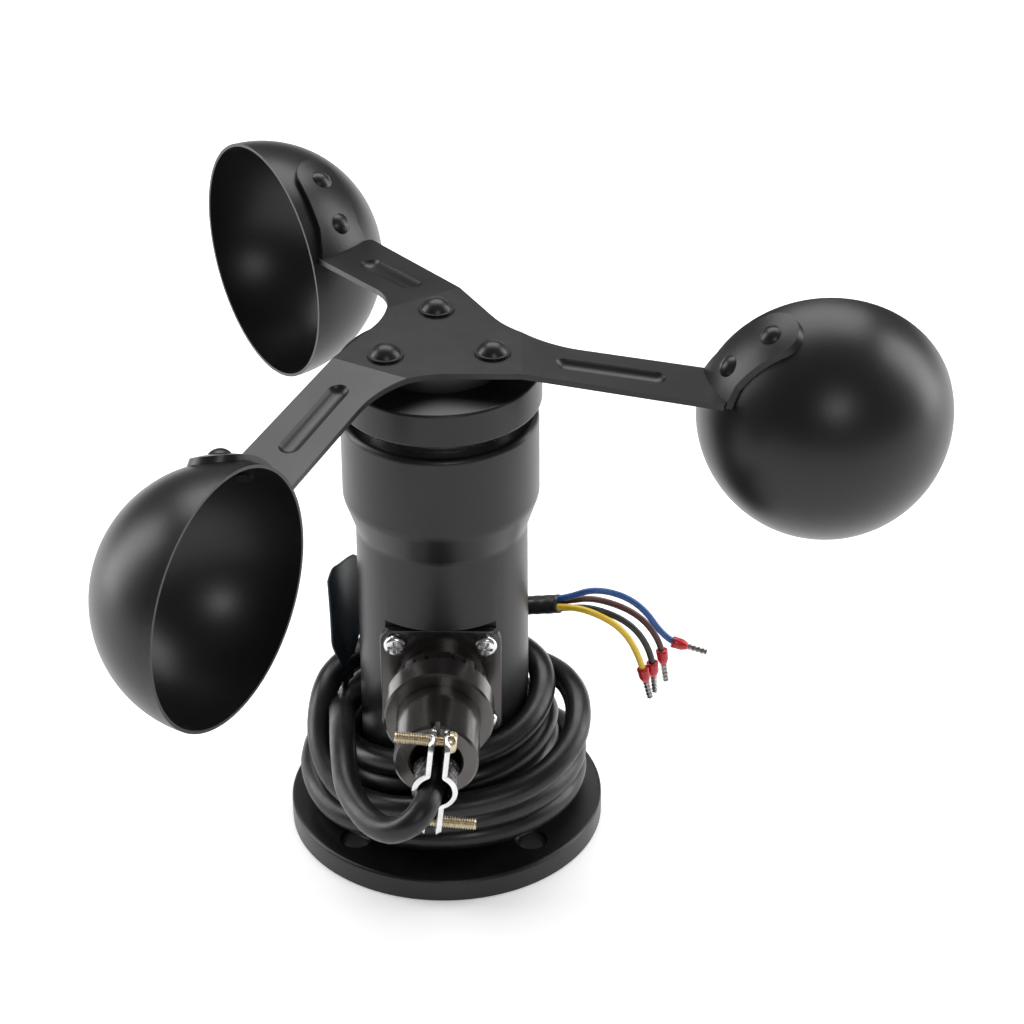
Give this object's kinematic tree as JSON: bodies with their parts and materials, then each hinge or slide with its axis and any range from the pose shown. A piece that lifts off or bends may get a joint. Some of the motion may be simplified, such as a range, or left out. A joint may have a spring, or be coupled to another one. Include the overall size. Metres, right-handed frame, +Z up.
{
  "type": "cup anemometer",
  "caption": "Three-cup wind speed sensor: a cup rotor on a ball-bearing shaft over a flanged tube, with a bayonet plug and a coiled cable.",
  "frame": {"origin": "centre of the base flange's underside", "axes": "+Z up along the rotor axis, -Y out of the connector"},
  "size_m": [0.2007, 0.2212, 0.1495],
  "materials": {
    "black_coat": "satin powder coat",
    "connector_shell": "glossy black zinc",
    "zinc": "bright zinc plate",
    "steel": "ground",
    "ball_steel": "polished",
    "brass": "turned",
    "aluminium": "turned",
    "rubber": "matte",
    "cable_jacket": "satin",
    "core_blue": "insulation",
    "core_brown": "insulation",
    "core_black": "insulation",
    "core_yellow": "insulation",
    "ferrule_red": "moulded",
    "ferrule_tin": "tinned",
    "tag": "folded film",
    "heat_shrink": "satin",
    "board": "solder resist",
    "electronics": "moulded",
    "insulator": "moulded",
    "felt": "felt"
  },
  "bodies": {
    "root": {"base_flange": "black_coat", "base_o_ring": "rubber", "base_screws": "zinc", "bearing_carrier": "aluminium", "board_parts": "electronics", "board_screws": "zinc", "board_standoffs": "brass", "body_housing": "black_coat", "cable_coil": "cable_jacket", "cable_lead": "cable_jacket", "cable_tag": "tag", "cable_tail": "cable_jacket", "carrier_o_ring": "rubber", "clamp_saddle_left": "zinc", "clamp_saddle_right": "zinc", "clamp_screws": "brass", "core_black": "core_black", "core_blue": "core_blue", "core_brown": "core_brown", "core_yellow": "core_yellow", "felt_seal": "felt", "ferrule_collars": "ferrule_red", "ferrule_tubes": "ferrule_tin", "hall_sensor": "electronics", "heat_shrink": "heat_shrink", "inner_wires": "core_black", "lower_bearing_circlip": "steel", "lower_bearing_outer": "steel", "plug_backshell": "connector_shell", "plug_insert": "insulator", "plug_seal": "rubber", "plug_sockets": "brass", "receptacle_gasket": "rubber", "receptacle_insert": "insulator", "receptacle_pins": "brass", "receptacle_screws": "zinc", "receptacle_shell": "connector_shell", "sensor_board": "board", "upper_bearing_circlip": "steel", "upper_bearing_outer": "steel", "wave_washer": "steel"},
    "rotor": {"rotor_shaft": "steel", "rotor_hub": "black_coat", "spider_plate": "black_coat", "hub_screws": "black_coat", "wind_cup_1": "black_coat", "wind_cup_2": "black_coat", "wind_cup_3": "black_coat", "cup_rivets": "black_coat", "upper_bearing_inner": "steel", "lower_bearing_inner": "steel", "bearing_spacer": "aluminium", "shaft_circlip": "steel", "magnet_carrier": "aluminium", "sensor_magnet": "ball_steel"},
    "upper_balls": {"upper_bearing_balls": "ball_steel", "upper_bearing_cage": "brass"},
    "lower_balls": {"lower_bearing_balls": "ball_steel", "lower_bearing_cage": "brass"},
    "coupling_ring": {"coupling_ring": "connector_shell"}
  },
  "joints": [
    {"name": "rotor_spin", "type": "hinge", "parent": "root", "child": "rotor", "pos_m": [0, 0, 0.1215], "axis": [0, 0, 1], "continuous": true},
    {"name": "upper_balls_roll", "type": "hinge", "parent": "root", "child": "upper_balls", "pos_m": [0, 0, 0.122], "axis": [0, 0, 1], "continuous": true},
    {"name": "lower_balls_roll", "type": "hinge", "parent": "root", "child": "lower_balls", "pos_m": [0, 0, 0.1005], "axis": [0, 0, 1], "continuous": true},
    {"name": "coupling_turn", "type": "hinge", "parent": "root", "child": "coupling_ring", "pos_m": [0, -0.03, 0.0525], "axis": [0, -1, 0], "range_deg": [0, 110]}
  ],
  "couplings": [
    {"joint": "upper_balls_roll", "follows": "rotor_spin", "ratio": 0.368},
    {"joint": "lower_balls_roll", "follows": "rotor_spin", "ratio": 0.368}
  ]
}
